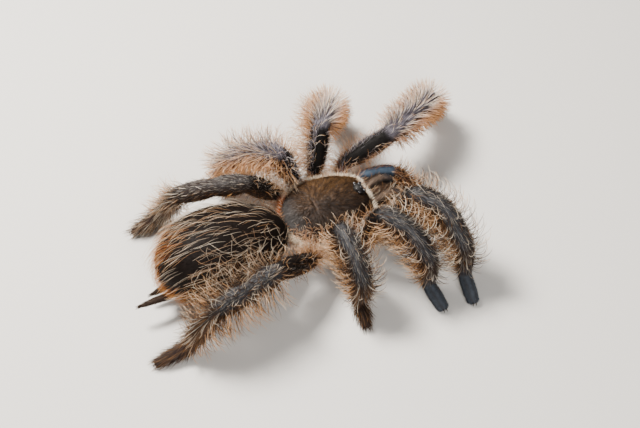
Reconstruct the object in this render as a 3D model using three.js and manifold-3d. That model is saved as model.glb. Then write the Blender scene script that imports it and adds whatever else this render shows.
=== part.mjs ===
// A curly-haired tarantula, life size, standing still with its front knees drawn up.
// Millimetres. +X is where the animal faces, +Y is its left side, +Z is up and Z = 0 is the floor.
// Each solid reaches the tips of the dense coat; the long loose hairs stand a little outside it.
import * as THREE from "three";
import { mergeVertices } from "three/addons/utils/BufferGeometryUtils.js";
import Module from "manifold-3d";

const wasm = await Module();
wasm.setup();

// ---- Driving dimensions ----

const GAP = 0.3; // between two pieces that meet

// The back shield: half-widths along its middle line, from the blunt front to the rear edge.
const SHIELD_OUTLINE = [
  [13.0, 0], [12.7, 3.6], [12.0, 6.3], [9.6, 8.4], [5.0, 10.4],
  [-1.0, 11.3], [-6.5, 10.3], [-10.4, 7.7], [-12.7, 4.0], [-13.2, 0],
];
const SHIELD_UNDERSIDE = 8.5;
const SHIELD_EDGE = 9.2;
const SHIELD_RISE = 7.3;
const SHIELD_SIDES = 36;

const TUBERCLE_CENTRE = [9.7, 0, 15.4];
const TUBERCLE_SIZE = [1.7, 2.1, 1.7]; // half-lengths
const EYE_GAP = 0.15; // between an eye's dome and the tubercle
// Each pair of eyes: its radius, and how far the left one is ahead, aside and up from the tubercle's centre.
const EYES = {
  front_middle: { radius: 0.5, place: [0.6, 0.62, 1.45] },
  front_side: { radius: 0.5, place: [1.25, 1.4, 0.6] },
  back_side: { radius: 0.45, place: [-0.4, 1.75, 0.9] },
  back_middle: { radius: 0.4, place: [-0.75, 0.85, 1.4] },
};

const STERNUM_CENTRE = [0.4, 0, 5.4];
const STERNUM_SIZE = [6.4, 4.4, 2.0]; // half-lengths

// The abdomen: an egg with its wide end at the back, turned a little to the animal's right.
const ABDOMEN_CENTRE = [-31.4, -1.5, 12.6];
const ABDOMEN_SIZE = [19.7, 13.6, 12.0]; // half-lengths
const ABDOMEN_SKEW = 0.14; // how much wider the back is than the front
const ABDOMEN_TURN = 4; // degrees
const ABDOMEN_TILT = 3; // degrees, the back end up

const PEDICEL_PATH = [[-5.4, 0, 5.6], [-9.0, 0, 6.4], [-13.0, -0.2, 8.4]];
const PEDICEL_RADIUS = 1.4;

// The left jaw's sections, from its root under the shield to its blunt front end.
const CHELICERA_SECTIONS = [
  { centre: [12.8, 2.7, 8.2], width: 1.8, height: 1.8 }, // half-widths and half-heights
  { centre: [14.2, 2.85, 9.2], width: 2.5, height: 3.5 },
  { centre: [17.2, 2.9, 9.5], width: 2.65, height: 4.2 },
  { centre: [20.2, 2.9, 8.7], width: 2.5, height: 3.9 },
  { centre: [22.0, 2.9, 7.2], width: 2.0, height: 2.9 },
  { centre: [22.8, 2.9, 6.3], width: 1.2, height: 1.8 },
];
const CHELICERA_SIDES = 12;
const FANG_PATH = [[21.4, 2.7, 3.25], [20.4, 2.7, 2.5], [17.6, 2.5, 2.3], [14.6, 2.2, 2.9]];
const FANG_RADII = [0.7, 0.75, 0.5, 0.25];

// The long spinneret on the right is held straight back, and the left one under the abdomen.
const SPINNERETS = {
  right_long: {
    path: [[-48.5, -5.0, 6.6], [-53.2, -5.3, 6.9], [-58.2, -5.2, 6.6]],
    radii: [1.3, 1.15, 0.5],
  },
  left_long: {
    path: [[-47.6, -0.8, 5.0], [-50.6, -0.9, 4.2], [-53.4, -1.0, 3.8]],
    radii: [1.2, 1.0, 0.45],
  },
  right_short: { path: [[-46.6, -4.0, 4.8], [-49.0, -4.1, 3.6]], radii: [0.8, 0.45] },
  left_short: { path: [[-45.6, -2.1, 4.2], [-48.0, -2.2, 3.0]], radii: [0.8, 0.45] },
};

// Limbs. A segment's heading is in degrees from straight ahead, towards the animal's left;
// its slope is in degrees above level. The last segment's slope follows from the floor.
const TIP_HEIGHT = 1.2; // the middle of a foot's tip above the floor
const TIP_REACH = 0.7; // how far a foot's rounded end goes past it
const LEG_LENGTHS = {
  1: { femur: 16.1, patella: 9.7, tibia: 12.4, metatarsus: 11.0, tarsus: 7.8 },
  2: { femur: 14.7, patella: 8.7, tibia: 10.6, metatarsus: 10.6, tarsus: 7.8 },
  3: { femur: 12.9, patella: 7.8, tibia: 9.2, metatarsus: 11.0, tarsus: 7.8 },
  4: { femur: 15.6, patella: 8.7, tibia: 12.0, metatarsus: 15.2, tarsus: 8.7 },
};
// Where each pair's coxae leave the sternum; the left one, and the right one is its mirror image.
const LEG_ROOTS = { 1: [5.9, 3.6, 5.6], 2: [2.3, 5.2, 5.6], 3: [-1.9, 5.2, 5.6], 4: [-5.7, 3.6, 5.6] };
const LEGS = {
  left_1: { hip: [11.0, 13.8, 10.1], headings: [0, 21, 34, 58, 64], slopes: [21, 6, -20, -66] },
  left_2: { hip: [2.6, 13.8, 9.4], headings: [52, 54, 56, 60, 64], slopes: [57, -17, -40, -70] },
  left_3: { hip: [-3.2, 13.8, 9.2], headings: [147, 139, 145, 122, 88], slopes: [72, -11, -31, -85] },
  left_4: { hip: [-9.0, 12.3, 9.2], headings: [188, 172, 151, 120, 182], slopes: [49, 10, -23, -63] },
  right_1: { hip: [10.5, -12.0, 9.3], headings: [-1, -59, -79, -88, -98], slopes: [51, 3, -38, -88] },
  right_2: { hip: [4.0, -13.4, 9.2], headings: [-21, -55, -67, -77, -84], slopes: [67, -10, -44, -94] },
  right_3: { hip: [-2.5, -13.6, 9.2], headings: [-94, -89, -88, -92, -100], slopes: [84, -7, -51, -105] },
  right_4: { hip: [-9.0, -12.3, 9.2], headings: [-160, -167, -168, -188, -179], slopes: [29, -4, -2, -57] },
};
// Radii out to the tips of the dense coat, at even steps from one joint to the next.
const LEG_RADII = {
  coxa: [1.7, 2.2, 2.5, 2.3],
  femur: [2.3, 3.7, 4.0, 3.4],
  patella: [3.4, 4.0, 4.0, 3.5],
  tibia: [3.5, 3.9, 3.8, 3.2],
  metatarsus: [3.2, 3.2, 2.9, 2.5],
  tarsus: [2.5, 2.5, 2.3, 1.8],
};

const PALP_ROOT = [9.4, 2.9, 5.0];
const PALP_LENGTHS = { femur: 11.0, patella: 6.6, tibia: 7.4, tarsus: 6.6 };
const PALPS = {
  left: { hip: [14.0, 9.2, 8.5], headings: [-9, -68, -84, -98], slopes: [-4, -16, -24] },
  right: { hip: [14.0, -8.4, 8.0], headings: [-13, -28, -40, -40], slopes: [24, -20, -80] },
};
const PALP_RADII = {
  coxa: [1.3, 1.7, 1.8, 1.6],
  femur: [1.6, 2.2, 2.4, 2.2],
  patella: [2.2, 2.5, 2.6, 2.4],
  tibia: [2.4, 2.6, 2.5, 2.2],
  tarsus: [2.2, 2.4, 2.2, 1.8],
};
const LEG_SIDES = 10;
const PALP_SIDES = 10;
const ROD_SIDES = 8;

// ---- Colours ----

const finish = (color, roughness) => new THREE.MeshStandardMaterial({ color, roughness, metalness: 0 });
const BRONZE_SHIELD = finish(0x5b4632, 0.55);
const BLACK_VELVET = finish(0x17130f, 0.85);
const GREY_BROWN = finish(0x4c423b, 0.8);
const SLATE_FOOT = finish(0x3a3a40, 0.75);
const PALE_CHELICERA = finish(0x8b7a68, 0.8);
const DARK_HORN = finish(0x0d0a09, 0.25);
const PINK_SKIN = finish(0x9a6f5e, 0.6);
const GLOSSY_EYE = finish(0x101014, 0.1);

// ---- Solids ----

const vector = ([x, y, z]) => new THREE.Vector3(x, y, z);
const radians = THREE.MathUtils.degToRad;

// The unit direction of a heading and a slope.
function direction(heading, slope) {
  const level = Math.cos(radians(slope));
  return new THREE.Vector3(
    level * Math.cos(radians(heading)),
    level * Math.sin(radians(heading)),
    Math.sin(radians(slope)),
  );
}

const signedVolume = (faces) =>
  faces.reduce((sum, [p, q, r]) => sum + p.dot(new THREE.Vector3().crossVectors(q, r)) / 6, 0);

const middle = (ring) => ring.reduce((sum, p) => sum.add(p), new THREE.Vector3()).divideScalar(ring.length);

// A closed surface through rings of equally many points, its ends closed by fans.
function loft(rings) {
  const faces = [];
  const count = rings[0].length;
  const first = middle(rings[0]);
  const last = middle(rings.at(-1));
  for (let j = 0; j < count; j++) {
    const k = (j + 1) % count;
    faces.push([first, rings[0][k], rings[0][j]], [last, rings.at(-1)[j], rings.at(-1)[k]]);
    for (let i = 0; i + 1 < rings.length; i++) {
      faces.push([rings[i][j], rings[i][k], rings[i + 1][k]], [rings[i][j], rings[i + 1][k], rings[i + 1][j]]);
    }
  }
  const inward = signedVolume(faces) < 0;
  const corners = faces.flatMap(([p, q, r]) => (inward ? [p, r, q] : [p, q, r]));
  const positions = new THREE.Float32BufferAttribute(corners.flatMap((p) => p.toArray()), 3);
  return new THREE.BufferGeometry().setAttribute("position", positions);
}

function toSolid(geometry) {
  const bare = geometry.clone();
  bare.deleteAttribute("normal");
  bare.deleteAttribute("uv");
  const merged = mergeVertices(bare, 1e-4);
  return new wasm.Manifold(new wasm.Mesh({
    numProp: 3,
    vertProperties: merged.attributes.position.array,
    triVerts: new Uint32Array(merged.index.array),
  }));
}

function toGeometry(solid) {
  const { vertProperties, triVerts } = solid.getMesh();
  const geometry = new THREE.BufferGeometry();
  geometry.setAttribute("position", new THREE.BufferAttribute(new Float32Array(vertProperties), 3));
  geometry.setIndex(new THREE.BufferAttribute(new Uint32Array(triVerts), 1));
  return geometry;
}

const cut = (geometry, ...tools) =>
  toGeometry(tools.reduce((solid, tool) => solid.subtract(toSolid(tool)), toSolid(geometry)));

function ellipsoid(centre, halves, across = 16, down = 10) {
  return new THREE.SphereGeometry(1, across, down).scale(...halves).translate(...centre);
}

// Turns a frame's side vector with the least turn that takes one direction to another.
function carried(side, from, to) {
  return side.clone().applyQuaternion(new THREE.Quaternion().setFromUnitVectors(from, to));
}

// A circle round an axis, slid along it onto the plane through `at` that faces `normal`,
// and moved by `offset` along that normal.
function mitredRing({ at, along, side, radius, normal, offset = 0, sides }) {
  const other = new THREE.Vector3().crossVectors(along, side);
  return Array.from({ length: sides }, (_, j) => {
    const turn = (2 * Math.PI * j) / sides;
    const point = at.clone()
      .addScaledVector(side, radius * Math.cos(turn))
      .addScaledVector(other, radius * Math.sin(turn));
    const short = offset - point.clone().sub(at).dot(normal);
    return point.addScaledVector(along, short / along.dot(normal));
  });
}

// The joints of a limb from its root down, and the direction of each segment.
function limbJoints({ root, hip, headings, slopes }, lengths) {
  const joints = [vector(root), vector(hip)];
  const directions = [joints[1].clone().sub(joints[0]).normalize()];
  Object.values(lengths).forEach((length, i) => {
    const from = joints.at(-1);
    const slope = slopes[i] ?? THREE.MathUtils.radToDeg(Math.asin((TIP_HEIGHT - from.z) / length));
    directions.push(direction(headings[i], slope));
    joints.push(from.clone().addScaledVector(directions.at(-1), length));
  });
  return { joints, directions };
}

// A limb's segments, each as a list of rings. The rings at a joint lie in the plane that halves it,
// half a gap from it where the joint parts two pieces.
function limbSegments(limb, lengths, radii, parted, sides) {
  const { joints, directions } = limbJoints(limb, lengths);
  const names = ["coxa", ...Object.keys(lengths)];
  const last = names.length - 1;
  const halving = (i) => directions[i - 1].clone().add(directions[i]).normalize();
  let side = new THREE.Vector3(0, 0, 1).cross(directions[0]).normalize();
  const segments = {};
  names.forEach((name, i) => {
    const along = directions[i];
    if (i > 0) side = carried(side, directions[i - 1], along);
    const common = { along, side, sides };
    const start = { at: joints[i], normal: i > 0 ? halving(i) : along, ...common };
    const end = { at: joints[i + 1], normal: i < last ? halving(i + 1) : along, ...common };
    start.offset = parted.includes(name) ? GAP / 2 : 0;
    end.offset = parted.includes(names[i + 1]) ? -GAP / 2 : 0;
    segments[name] = radii[name].map((radius, step) => {
      const share = step / (radii[name].length - 1);
      const ends = mitredRing({ radius, ...end });
      return mitredRing({ radius, ...start }).map((p, j) => p.lerp(ends[j], share));
    });
  });
  segments.foot = [...segments.tarsus, footTip(segments.tarsus.at(-1), directions[last])];
  return segments;
}

// The small last ring of a foot's rounded end.
function footTip(ring, along) {
  const centre = middle(ring);
  return ring.map((p) => p.clone().lerp(centre, 0.45).addScaledVector(along, TIP_REACH));
}

// Segments of one piece share the ring at their joint.
const joined = (...segments) => loft(segments.reduce((rings, next) => [...rings, ...next.slice(1)]));

// A tapered rod through a few points.
function rod(path, radii) {
  const points = path.map(vector);
  const steps = points.slice(1).map((p, i) => p.clone().sub(points[i]).normalize());
  let side = new THREE.Vector3(0, 1, 0);
  const rings = points.map((at, i) => {
    const before = steps[Math.max(i - 1, 0)];
    const after = steps[Math.min(i, steps.length - 1)];
    const along = before.clone().add(after).normalize();
    side = side.clone().addScaledVector(along, -side.dot(along)).normalize();
    return mitredRing({ at, along, side, radius: radii[i], normal: along, sides: ROD_SIDES });
  });
  return loft(rings);
}

// ---- The back shield ----

// The shield's solid, or one grown by `grow` on every side to cut its neighbours with.
function shieldGeometry(grow = 0) {
  const left = SHIELD_OUTLINE.map(([x, y]) => new THREE.Vector3(x, y, 0));
  const right = SHIELD_OUTLINE.slice(1, -1).reverse().map(([x, y]) => new THREE.Vector3(x, -y, 0));
  const curve = new THREE.CatmullRomCurve3([...left, ...right], true);
  const outline = curve.getPoints(SHIELD_SIDES).slice(0, -1);
  const level = (share, height, ahead = 0) => outline.map(({ x, y }) => {
    const outward = grow / Math.hypot(x, y);
    return new THREE.Vector3(x * (share + outward) + ahead, y * (share + outward), height);
  });
  const rise = SHIELD_RISE;
  return loft([
    level(0.86, SHIELD_UNDERSIDE - grow),
    level(0.99, SHIELD_EDGE - 0.25 - grow),
    level(1.0, SHIELD_EDGE + 0.2),
    level(0.955, SHIELD_EDGE + 0.27 * rise + grow),
    level(0.87, SHIELD_EDGE + 0.57 * rise + grow, 0.1),
    level(0.74, SHIELD_EDGE + 0.8 * rise + grow, 0.4),
    level(0.55, SHIELD_EDGE + 0.94 * rise + grow, 0.8),
    level(0.28, SHIELD_EDGE + rise + grow, 0.8),
  ]);
}

// ---- The abdomen ----

// The abdomen's solid, or one grown by `grow` on every side to cut its neighbours with.
function abdomenGeometry(grow = 0) {
  const egg = new THREE.SphereGeometry(1, 24, 14).rotateZ(Math.PI / 2);
  const positions = egg.attributes.position;
  for (let i = 0; i < positions.count; i++) {
    const wider = 1 - ABDOMEN_SKEW * positions.getX(i);
    positions.setY(i, positions.getY(i) * wider);
    positions.setZ(i, positions.getZ(i) * wider);
  }
  egg.scale(...ABDOMEN_SIZE.map((half) => half + grow));
  return egg.rotateY(radians(ABDOMEN_TILT)).rotateZ(radians(ABDOMEN_TURN)).translate(...ABDOMEN_CENTRE);
}

// ---- Assembly ----

const tarantula = new THREE.Group();

function add(name, geometry, material) {
  const mesh = new THREE.Mesh(geometry, material);
  mesh.name = name;
  tarantula.add(mesh);
}

const mirrored = ([x, y, z]) => [x, -y, z];
const toSide = (side, points) => (side.startsWith("left") ? points : points.map(mirrored));

function addShield() {
  add("carapace", shieldGeometry(), BRONZE_SHIELD);
  const mound = (grow) => ellipsoid(TUBERCLE_CENTRE, TUBERCLE_SIZE.map((half) => half + grow), 16, 10);
  add("eye_tubercle", cut(mound(0), shieldGeometry(GAP)), BLACK_VELVET);
  for (const [name, { radius, place }] of Object.entries(EYES)) {
    for (const side of ["left", "right"]) {
      const [offset] = toSide(side, [place]);
      const centre = TUBERCLE_CENTRE.map((value, axis) => value + offset[axis]);
      const ball = ellipsoid(centre, [radius, radius, radius], 8, 6);
      add(`eye_${side}_${name}`, cut(ball, mound(EYE_GAP)), GLOSSY_EYE);
    }
  }
}

function addTrunk() {
  const sternum = (grow) => ellipsoid(STERNUM_CENTRE, STERNUM_SIZE.map((half) => half + grow), 16, 8);
  add("sternum", cut(sternum(0), shieldGeometry(GAP)), BLACK_VELVET);
  const waist = rod(PEDICEL_PATH, PEDICEL_PATH.map(() => PEDICEL_RADIUS));
  add("pedicel", cut(waist, sternum(GAP), shieldGeometry(GAP), abdomenGeometry(GAP)), PINK_SKIN);
  add("abdomen", cut(abdomenGeometry(), shieldGeometry(GAP)), BLACK_VELVET);
  for (const [name, { path, radii }] of Object.entries(SPINNERETS)) {
    add(`spinneret_${name}`, cut(rod(path, radii), abdomenGeometry(GAP)), BLACK_VELVET);
  }
}

function cheliceraGeometry(side) {
  const rings = CHELICERA_SECTIONS.map(({ centre, width, height }) => {
    const [[x, y, z]] = toSide(side, [centre]);
    return Array.from({ length: CHELICERA_SIDES }, (_, j) => {
      const turn = (2 * Math.PI * j) / CHELICERA_SIDES;
      return new THREE.Vector3(x, y + width * Math.cos(turn), z + height * Math.sin(turn));
    });
  });
  return cut(loft(rings), shieldGeometry(GAP));
}

function addJaws() {
  for (const side of ["left", "right"]) {
    add(`chelicera_${side}`, cheliceraGeometry(side), PALE_CHELICERA);
    add(`fang_${side}`, rod(toSide(side, FANG_PATH), FANG_RADII), DARK_HORN);
  }
}

function addLimbs() {
  const floor = new THREE.BoxGeometry(300, 300, 10).translate(0, 0, -5);
  for (const [name, stance] of Object.entries(LEGS)) {
    const [root] = toSide(name, [LEG_ROOTS[name.at(-1)]]);
    const lengths = LEG_LENGTHS[name.at(-1)];
    const parted = ["femur", "patella", "metatarsus"];
    const leg = limbSegments({ root, ...stance }, lengths, LEG_RADII, parted, LEG_SIDES);
    add(`leg_${name}_coxa`, cut(loft(leg.coxa), shieldGeometry(GAP)), BLACK_VELVET);
    add(`leg_${name}_femur`, loft(leg.femur), BLACK_VELVET);
    add(`leg_${name}_tibia`, joined(leg.patella, leg.tibia), GREY_BROWN);
    add(`leg_${name}_foot`, cut(joined(leg.metatarsus, leg.foot), floor), SLATE_FOOT);
  }
  for (const [name, stance] of Object.entries(PALPS)) {
    const [root] = toSide(name, [PALP_ROOT]);
    const parted = ["femur", "patella"];
    const palp = limbSegments({ root, ...stance }, PALP_LENGTHS, PALP_RADII, parted, PALP_SIDES);
    add(`palp_${name}_coxa`, cut(loft(palp.coxa), shieldGeometry(GAP)), BLACK_VELVET);
    add(`palp_${name}_femur`, loft(palp.femur), GREY_BROWN);
    add(`palp_${name}_tibia`, cut(joined(palp.patella, palp.tibia, palp.foot), floor), GREY_BROWN);
  }
}

addShield();
addTrunk();
addJaws();
addLimbs();

// The origin is on the floor, under the middle of the whole animal.
const box = new THREE.Box3().setFromObject(tarantula);
tarantula.position.set(-(box.min.x + box.max.x) / 2, -(box.min.y + box.max.y) / 2, 0);

export default tarantula;
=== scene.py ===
"""A curly-haired tarantula, standing, on a plain pale floor.

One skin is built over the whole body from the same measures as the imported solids. The back shield, the
eyes, the fangs and the claws are pieces of their own, and the coat is made of closed, tapered hairs.
Sizes are in millimetres in the animal's own frame (+X ahead, +Y its left side) until a mesh is made.
"""

import bpy
import numpy as np
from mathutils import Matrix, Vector
from mathutils.kdtree import KDTree


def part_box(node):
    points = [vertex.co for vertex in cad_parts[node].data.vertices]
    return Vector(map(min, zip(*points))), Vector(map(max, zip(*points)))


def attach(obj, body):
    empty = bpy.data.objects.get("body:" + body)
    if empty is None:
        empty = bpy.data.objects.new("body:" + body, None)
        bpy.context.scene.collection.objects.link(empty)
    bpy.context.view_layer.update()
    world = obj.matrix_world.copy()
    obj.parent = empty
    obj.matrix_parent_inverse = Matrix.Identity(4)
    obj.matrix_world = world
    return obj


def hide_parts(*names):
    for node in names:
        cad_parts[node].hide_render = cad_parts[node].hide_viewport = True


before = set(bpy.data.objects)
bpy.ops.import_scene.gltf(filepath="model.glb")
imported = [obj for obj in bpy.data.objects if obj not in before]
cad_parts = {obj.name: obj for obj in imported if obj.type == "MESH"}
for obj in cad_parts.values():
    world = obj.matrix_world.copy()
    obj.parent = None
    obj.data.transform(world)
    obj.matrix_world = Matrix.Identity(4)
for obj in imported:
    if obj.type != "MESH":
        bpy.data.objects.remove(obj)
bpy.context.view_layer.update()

MM = 0.001
rng = np.random.default_rng(7)

# ---- Measures ----

SHIELD_OUTLINE = [
    [13.0, 0], [12.7, 3.6], [12.0, 6.3], [9.6, 8.4], [5.0, 10.4],
    [-1.0, 11.3], [-6.5, 10.3], [-10.4, 7.7], [-12.7, 4.0], [-13.2, 0],
]
SHIELD_UNDERSIDE = 8.6
SHIELD_EDGE = 9.2
SHIELD_RISE = 7.0
# The dome's height at shares of the way from its middle to its edge.
SHIELD_SHARES = [0, 0.28, 0.55, 0.74, 0.87, 0.955, 1.0]
SHIELD_HEIGHTS = [1.0, 0.99, 0.94, 0.8, 0.57, 0.29, 0.03]
SHIELD_AHEAD = 0.8  # how far the top of the dome is ahead of the outline's middle
PIT_PLACE = -3.4  # the pit in the middle of the shield, along its middle line

MOUND_CENTRE = np.array([9.7, 0, 15.4])
MOUND_SIZE = np.array([1.6, 2.0, 1.55])
# Each pair of eyes: radius, half-lengths' share, and the left one's place from the mound's centre.
EYES = {
    "front_middle": (0.47, [0.6, 0.62, 1.4]),
    "front_side": (0.5, [1.2, 1.38, 0.6]),
    "back_side": (0.45, [-0.4, 1.7, 0.88]),
    "back_middle": (0.36, [-0.75, 0.85, 1.32]),
}

ABDOMEN_CENTRE = np.array([-31.4, -1.5, 12.5])
ABDOMEN_SIZE = np.array([18.9, 12.8, 11.2])
ABDOMEN_SKEW = 0.14
ABDOMEN_TURN = 4
ABDOMEN_TILT = 3

STERNUM_CENTRE = np.array([0.4, 0, 5.6])
STERNUM_SIZE = np.array([6.6, 4.6, 2.0])
PEDICEL_PATH = [[-4.0, 0, 6.4], [-9.0, 0, 7.2], [-13.0, -0.2, 8.6], [-16.5, -0.4, 10.0]]
PEDICEL_RADII = [2.4, 2.2, 1.9, 2.2]

# The left jaw's sections: centre, half-width and half-height.
JAW_CENTRES = [[11.0, 2.6, 9.0], [14.2, 2.85, 9.2], [17.2, 2.9, 9.5], [20.2, 2.9, 8.7], [22.0, 2.9, 7.2]]
JAW_WIDTHS = [1.9, 2.2, 2.35, 2.2, 1.6]
JAW_HEIGHTS = [2.4, 3.2, 3.9, 3.6, 2.4]
FANG_PATH = [[21.3, 2.7, 4.6], [20.9, 2.7, 2.9], [19.6, 2.6, 2.2], [17.2, 2.45, 2.2], [14.8, 2.2, 2.8]]
FANG_RADII = [0.85, 0.78, 0.66, 0.42, 0.08]

SPINNERETS = {
    "right_long": ([[-46.0, -4.7, 7.4], [-49.6, -5.1, 6.6], [-53.2, -5.3, 6.9], [-58.0, -5.2, 6.6]],
                   [1.2, 1.05, 0.95, 0.4]),
    "left_long": ([[-46.0, -0.8, 6.0], [-48.6, -0.8, 4.7], [-50.6, -0.9, 4.2], [-53.2, -1.0, 3.8]],
                  [1.1, 1.0, 0.85, 0.35]),
    "right_short": ([[-45.6, -4.0, 5.4], [-47.6, -4.0, 4.2], [-48.9, -4.1, 3.6]], [0.7, 0.6, 0.3]),
    "left_short": ([[-44.6, -2.1, 5.0], [-46.6, -2.1, 3.7], [-47.9, -2.2, 3.0]], [0.7, 0.6, 0.3]),
}

SEGMENTS = ["coxa", "femur", "patella", "tibia", "metatarsus", "tarsus"]
TIP_HEIGHT = 1.2
LEG_LENGTHS = {
    "1": [16.1, 9.7, 12.4, 11.0, 7.8],
    "2": [14.7, 8.7, 10.6, 10.6, 7.8],
    "3": [12.9, 7.8, 9.2, 11.0, 7.8],
    "4": [15.6, 8.7, 12.0, 15.2, 8.7],
}
LEG_ROOTS = {"1": [5.9, 3.6, 5.6], "2": [2.3, 5.2, 5.6], "3": [-1.9, 5.2, 5.6], "4": [-5.7, 3.6, 5.6]}
# Each leg's hip, and its segments' headings and slopes in degrees.
LEGS = {
    "left_1": ([11.0, 13.8, 10.1], [0, 21, 34, 58, 64], [21, 6, -20, -66]),
    "left_2": ([2.6, 13.8, 9.4], [52, 54, 56, 60, 64], [57, -17, -40, -70]),
    "left_3": ([-3.2, 13.8, 9.2], [147, 139, 145, 122, 88], [72, -11, -31, -85]),
    "left_4": ([-9.0, 12.3, 9.2], [188, 172, 151, 120, 182], [49, 10, -23, -63]),
    "right_1": ([10.5, -12.0, 9.3], [-1, -59, -79, -88, -98], [51, 3, -38, -88]),
    "right_2": ([4.0, -13.4, 9.2], [-21, -55, -67, -77, -84], [67, -10, -44, -94]),
    "right_3": ([-2.5, -13.6, 9.2], [-94, -89, -88, -92, -100], [84, -7, -51, -105]),
    "right_4": ([-9.0, -12.3, 9.2], [-160, -167, -168, -188, -179], [29, -4, -2, -57]),
}
# How a leg's long hairs stand: their angle over the skin at the root and at the tip, from and to, and their bends.
FRINGES = {
    "hooked": ((40, 72), (140, 215), 6),
    "halo": ((46, 90), (45, 125), 5),
    "fan": ((46, 84), (50, 140), 6),
    "swept": ((20, 56), (-5, 60), 5),
}
# Each leg's fringe, its hairs to a square millimetre, their length from and to, and the femur's curls to one.
LEG_FRINGES = {
    "left_1": ("halo", 4.6, 3.8, 6.0, 1.3),
    "left_2": ("halo", 4.6, 3.8, 6.0, 1.8),
    "left_3": ("halo", 5.0, 4.6, 7.4, 1.2),
    "left_4": ("swept", 0.7, 2.0, 3.6, 0.8),
    "right_1": ("hooked", 2.6, 5.2, 8.2, 1.2),
    "right_2": ("hooked", 2.8, 5.2, 8.2, 1.2),
    "right_3": ("hooked", 2.8, 4.6, 7.4, 1.6),
    "right_4": ("fan", 4.8, 6.0, 9.6, 1.2),
}
# Thick curls on a leg: hairs to a square millimetre, rows from and to, the turn that they are round and how far
# either side of it, and their length from and to.
LEG_CURLS = {
    "left_1": [(3.0, 0.3, 1.45, -90, 70, 3.6, 6.6)],
    "left_2": [(4.4, 0.9, 3.2, -100, 55, 5.5, 9.0), (3.0, 0.3, 1.4, 90, 70, 3.6, 6.6)],
    "left_3": [(3.2, 1.2, 4.4, -150, 95, 5.0, 8.8), (3.0, 0.9, 2.2, 95, 60, 5.0, 8.0)],
    "left_4": [(3.0, 0.9, 1.6, 0, 60, 3.0, 5.0), (1.5, 3.8, 5.4, 60, 130, 4.0, 6.6)],
    "right_3": [(2.4, 0.3, 1.2, 70, 80, 3.0, 5.6)],
    "right_4": [(4.2, 0.3, 1.3, -20, 100, 3.6, 6.4)],
}
# The skin's radii at even steps along each segment.
LEG_RADII = [
    [1.6, 1.8, 1.9, 1.6],
    [1.6, 2.5, 2.75, 2.3],
    [2.3, 2.8, 2.8, 2.3],
    [2.3, 2.75, 2.6, 2.05],
    [2.05, 2.15, 1.95, 1.65],
    [1.65, 1.85, 1.85, 1.6],
]
HIND_FOOT_RADII = [1.65, 1.6, 1.4, 1.05]
PALP_ROOT = [9.4, 2.9, 5.0]
PALP_LENGTHS = [11.0, 6.6, 7.4, 6.6]
PALPS = {
    "left": ([14.0, 9.2, 8.5], [-9, -68, -84, -98], [-4, -16, -24]),
    "right": ([14.0, -8.4, 8.0], [-13, -28, -40, -40], [24, -20, -80]),
}
PALP_RADII = [
    [1.1, 1.3, 1.4, 1.2],
    [1.2, 1.8, 2.0, 1.7],
    [1.6, 1.85, 1.85, 1.6],
    [1.6, 1.85, 1.8, 1.5],
    [1.5, 1.75, 1.75, 1.25],
]
BEND_REACH = 2.4  # how far either side of a joint the limb bends
ROW_STEP = 0.5  # between the rings that a limb's skin is made of

SKIN_VOXEL = 0.42
PATCH = 0.003  # the size of a hair's patch on the coat's unwrap
HAIR_FLOOR = 0.08  # the lowest that a hair's middle line comes
SOLE_HEIGHT = 0.15  # the lowest that the skin comes

# ---- Small helpers ----


def unit(v):
    return v / np.maximum(np.linalg.norm(v, axis=-1, keepdims=True), 1e-9)


def ramp(x, low, high):
    """0 below low, 1 above high, and smooth between."""
    t = np.clip((np.asarray(x, float) - low) / (high - low), 0, 1)
    return t * t * (3 - 2 * t)


def mix(a, b, share):
    share = np.asarray(share, float)[..., None]
    return np.asarray(a) * (1 - share) + np.asarray(b) * share


def colour(red, green, blue):
    """A screen colour, 0 to 255, as linear light."""
    c = np.array([red, green, blue]) / 255
    return np.where(c <= 0.04045, c / 12.92, ((c + 0.055) / 1.055) ** 2.4)


def through(rows, shares):
    """Values on a smooth curve through rows of numbers, at shares from 0 to 1 of its steps."""
    rows = np.asarray(rows, float)
    padded = np.vstack([2 * rows[0] - rows[1], rows, 2 * rows[-1] - rows[-2]])
    t = np.clip(np.asarray(shares, float), 0, 1) * (len(rows) - 1)
    i = np.minimum(t.astype(int), len(rows) - 2)
    t = (t - i)[:, None]
    p0, p1, p2, p3 = (padded[i + k] for k in range(4))
    return 0.5 * (2 * p1 + (p2 - p0) * t + (2 * p0 - 5 * p1 + 4 * p2 - p3) * t**2
                  + (3 * p1 - p0 - 3 * p2 + p3) * t**3)


def aim(heading, slope):
    """The direction of a heading and a slope in degrees, and the direction square to it that is its upper side."""
    h, s = np.radians(heading), np.radians(slope)
    ahead = np.stack([np.cos(s) * np.cos(h), np.cos(s) * np.sin(h), np.sin(s)], -1)
    upper = np.stack([-np.sin(s) * np.cos(h), -np.sin(s) * np.sin(h), np.cos(s)], -1)
    return ahead, upper


def on_side(side, points):
    """Points given for the left side, or their mirror image."""
    flip = [1, 1 if side.startswith("left") else -1, 1]
    return np.asarray(points, float) * flip


shell_low, shell_high = (np.array(corner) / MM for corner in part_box("carapace"))
ORIGIN = np.array([shell_high[0] - SHIELD_OUTLINE[0][0], (shell_low[1] + shell_high[1]) / 2, 0])

# ---- Colours ----

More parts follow.
